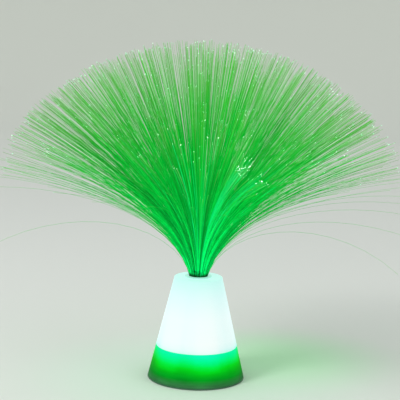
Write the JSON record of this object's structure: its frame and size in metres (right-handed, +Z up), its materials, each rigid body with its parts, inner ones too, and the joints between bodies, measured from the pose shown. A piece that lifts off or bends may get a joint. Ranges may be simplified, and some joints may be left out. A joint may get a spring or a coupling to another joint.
{
  "type": "fiber optic lamp",
  "caption": "Battery lamp: a spray of optical fibres over a lit white cone with a translucent green foot band.",
  "frame": {"origin": "centre of the lamp's foot, on the surface that it stands on", "axes": "+Z up along the cone's axis; the lamp's front faces -Y; the cells lie along X and the switch is at +Y"},
  "size_m": [0.369, 0.369, 0.3037],
  "materials": {
    "band": "translucent green plastic, lit from within and darker at its foot",
    "diffuser": "milky white translucent plastic, lit from within",
    "underside": "dark green moulded plastic with a fine satin texture",
    "door": "dark green moulded plastic with a fine satin texture",
    "pads": "soft black rubber",
    "screws": "zinc plated steel",
    "cells": "plain printed film over a steel can",
    "contacts": "nickel plated spring steel",
    "board": "green solder resist",
    "light": "clear resin over a lit chip",
    "chips": "black moulded package",
    "switch_case": "tinned steel case",
    "switch_slider": "black plastic",
    "wire_red": "red insulation",
    "wire_black": "black insulation",
    "ferrule": "white plastic, lit from below",
    "bundle": "packed clear fibres, lit green from below",
    "fibres": "clear acrylic fibre, lit green, brightest at its tips"
  },
  "bodies": {
    "base": {"green_band": "band", "diffuser_cone": "diffuser", "base_plate": "underside", "foot_pads": "pads", "case_screws": "screws", "battery_front": "cells", "battery_middle": "cells", "battery_back": "cells", "contact_positive": "contacts", "contact_negative": "contacts", "contact_bridge_right": "contacts", "contact_bridge_left": "contacts", "contact_springs": "contacts", "led_board": "board", "centre_led": "light", "side_leds": "light", "controller_chip": "chips", "board_resistors": "chips", "switch_body": "switch_case", "wire_positive": "wire_red", "wire_switched": "wire_red", "wire_negative": "wire_black"},
    "battery_door": {"battery_door": "door"},
    "switch_slider": {"switch_knob": "switch_slider"},
    "spray": {"spray_ferrule": "ferrule", "fibre_bundle": "bundle", "fibre_strands_inner": "fibres", "fibre_strands_middle": "fibres", "fibre_strands_outer": "fibres", "fibre_strands_stray": "fibres"}
  },
  "joints": [
    {"name": "door_swing", "type": "hinge", "parent": "base", "child": "battery_door", "pos_m": [-0.02795, 0, 0.0005], "axis": [0, 1, 0], "range_deg": [0, 80]},
    {"name": "switch_slide", "type": "slide", "parent": "base", "child": "switch_slider", "axis": [1, 0, 0], "range_m": [-0.002, 0]},
    {"name": "spray_lift", "type": "slide", "parent": "base", "child": "spray", "axis": [0, 0, 1], "range_m": [0, 0.06]}
  ]
}
